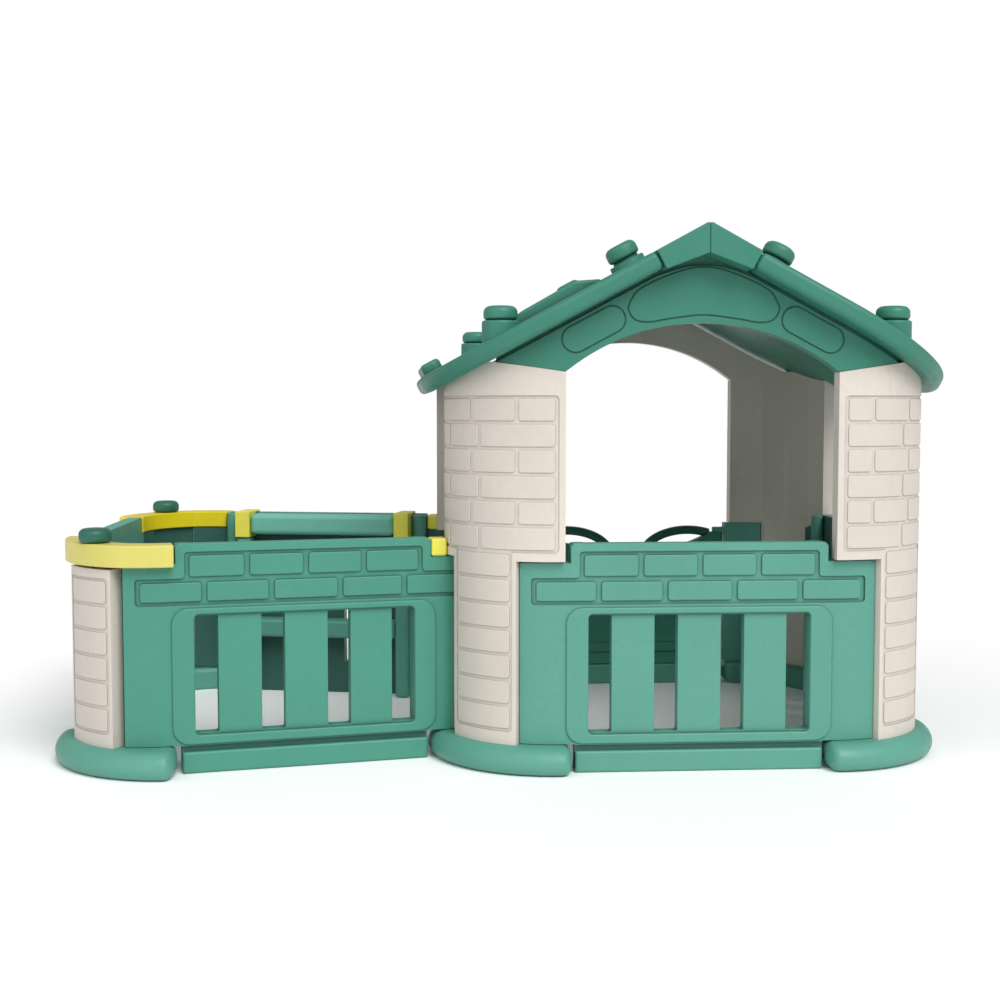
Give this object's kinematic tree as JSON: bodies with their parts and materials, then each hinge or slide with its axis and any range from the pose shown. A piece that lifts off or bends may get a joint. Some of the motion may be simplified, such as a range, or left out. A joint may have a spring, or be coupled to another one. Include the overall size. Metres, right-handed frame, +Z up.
{
  "type": "plastic playhouse",
  "caption": "Small play house with a gabled roof, brick-pattern corner posts, slatted low walls, swing leaves at the back and a fenced play pen joined to its left side.",
  "frame": {"origin": "middle of the whole object's footprint, on the floor", "axes": "+X to the right of the house as seen from the front, +Y towards its back, +Z up"},
  "size_m": [2.0356, 1.216, 1.1805],
  "materials": {
    "mint": "moulded satin",
    "teal": "moulded satin",
    "deep_green": "moulded satin",
    "beige": "moulded satin with raised bricks",
    "yellow": "moulded satin-gloss",
    "pin": "plain"
  },
  "bodies": {
    "house": {"corner_post_back_left": "beige", "corner_post_back_right": "beige", "corner_post_front_left": "beige", "corner_post_front_right": "beige", "door_jamb_left": "mint", "door_jamb_right": "mint", "door_sill_back": "mint", "door_sill_left": "mint", "foot_back_left": "mint", "foot_back_right": "mint", "foot_front_left": "mint", "foot_front_right": "mint", "gable_back": "beige", "gable_front": "teal", "hinge_pin_left": "pin", "hinge_pin_right": "pin", "low_panel_front": "mint", "low_panel_right": "mint", "pen_cap_back": "yellow", "pen_cap_bolt_back": "deep_green", "pen_cap_bolt_front": "deep_green", "pen_cap_front": "yellow", "pen_foot_back": "mint", "pen_foot_front": "mint", "pen_joint_cap_back": "yellow", "pen_joint_cap_front": "yellow", "pen_joint_post_back": "beige", "pen_joint_post_front": "beige", "pen_panel_back": "mint", "pen_panel_front": "mint", "pen_panel_side": "mint", "pen_post_back": "beige", "pen_post_front": "beige", "roof_bolt_lower_left_back": "teal", "roof_bolt_lower_left_front": "teal", "roof_bolt_lower_right_back": "teal", "roof_bolt_lower_right_front": "teal", "roof_bolt_upper_left_back": "teal", "roof_bolt_upper_left_front": "teal", "roof_bolt_upper_right_back": "teal", "roof_bolt_upper_right_front": "teal", "roof_left": "teal", "roof_ridge_cap": "teal", "roof_right": "teal", "shelf_hook_left": "yellow", "shelf_hook_right": "yellow", "shelf_leg_left": "mint", "shelf_leg_right": "mint", "shelf_lower": "mint", "shelf_top": "mint"},
    "leaf_left": {"door_leaf_left": "teal"},
    "leaf_right": {"door_leaf_right": "teal"}
  },
  "joints": [
    {"name": "door_leaf_left_hinge", "type": "hinge", "parent": "house", "child": "leaf_left", "pos_m": [0.1534, 0.513, 0.25], "axis": [0, 0, 1], "range_deg": [-85, 85]},
    {"name": "door_leaf_right_hinge", "type": "hinge", "parent": "house", "child": "leaf_right", "pos_m": [0.6774, 0.513, 0.25], "axis": [0, 0, 1], "range_deg": [-85, 85]}
  ]
}
